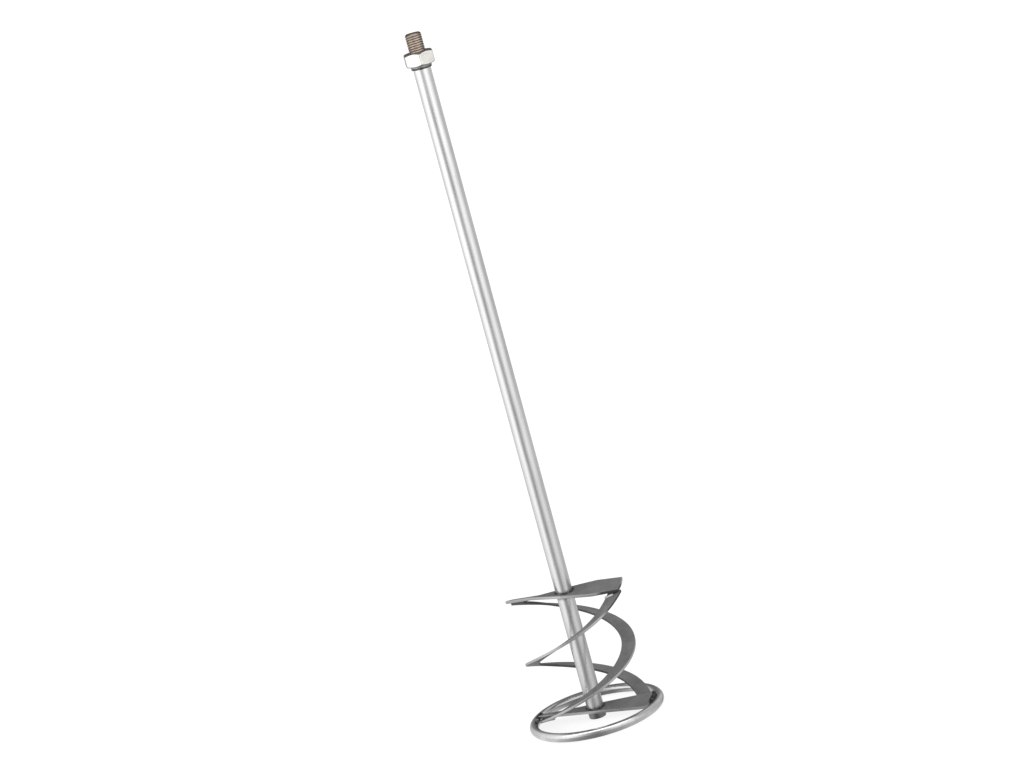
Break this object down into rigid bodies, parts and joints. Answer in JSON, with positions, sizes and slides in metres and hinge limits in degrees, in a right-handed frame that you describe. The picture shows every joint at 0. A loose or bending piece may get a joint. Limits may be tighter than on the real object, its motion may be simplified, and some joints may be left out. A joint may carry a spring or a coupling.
{
  "type": "mortar mixing paddle",
  "caption": "Welded steel mortar mixing paddle: helical blades between crossbars and a bottom ring, on a long tubular shaft with a threaded drive stud and lock nut.",
  "frame": {"origin": "on the shaft's axis, in the plane that the bottom ring and the shaft's end stand on", "axes": "+Z along the shaft towards the threaded drive end, +X along the two crossbars"},
  "size_m": [0.12, 0.12, 0.616],
  "materials": {
    "bright_tube": "bright zinc-plated drawn tube, satin",
    "bright_rod": "bright zinc-plated round rod, satin",
    "dark_sheet": "dull grey rolled steel strip",
    "bare_thread": "uncoated oiled steel, brownish",
    "plated_nut": "bright nickel plating, slightly warm",
    "weld_metal": "dull rippled weld bead"
  },
  "bodies": {
    "paddle": {"shaft_tube": "bright_tube", "shaft_end_plug": "bright_tube", "threaded_stud": "bare_thread", "stud_weld": "weld_metal", "upper_crossbar": "dark_sheet", "lower_crossbar": "dark_sheet", "blade_a": "dark_sheet", "blade_b": "dark_sheet", "bottom_ring": "bright_rod", "weld_shaft_upper_top": "weld_metal", "weld_shaft_upper_bottom": "weld_metal", "weld_shaft_lower_top": "weld_metal", "weld_blade_top_a": "weld_metal", "weld_blade_top_b": "weld_metal", "weld_blade_foot_a": "weld_metal", "weld_blade_foot_b": "weld_metal", "weld_ring_a": "weld_metal", "weld_ring_b": "weld_metal"},
    "nut": {"lock_nut": "plated_nut"}
  },
  "joints": [
    {"name": "lock_nut_turn", "type": "hinge", "parent": "paddle", "child": "nut", "pos_m": [0, 0, 0.5945], "axis": [0, 0, 1], "continuous": true}
  ]
}
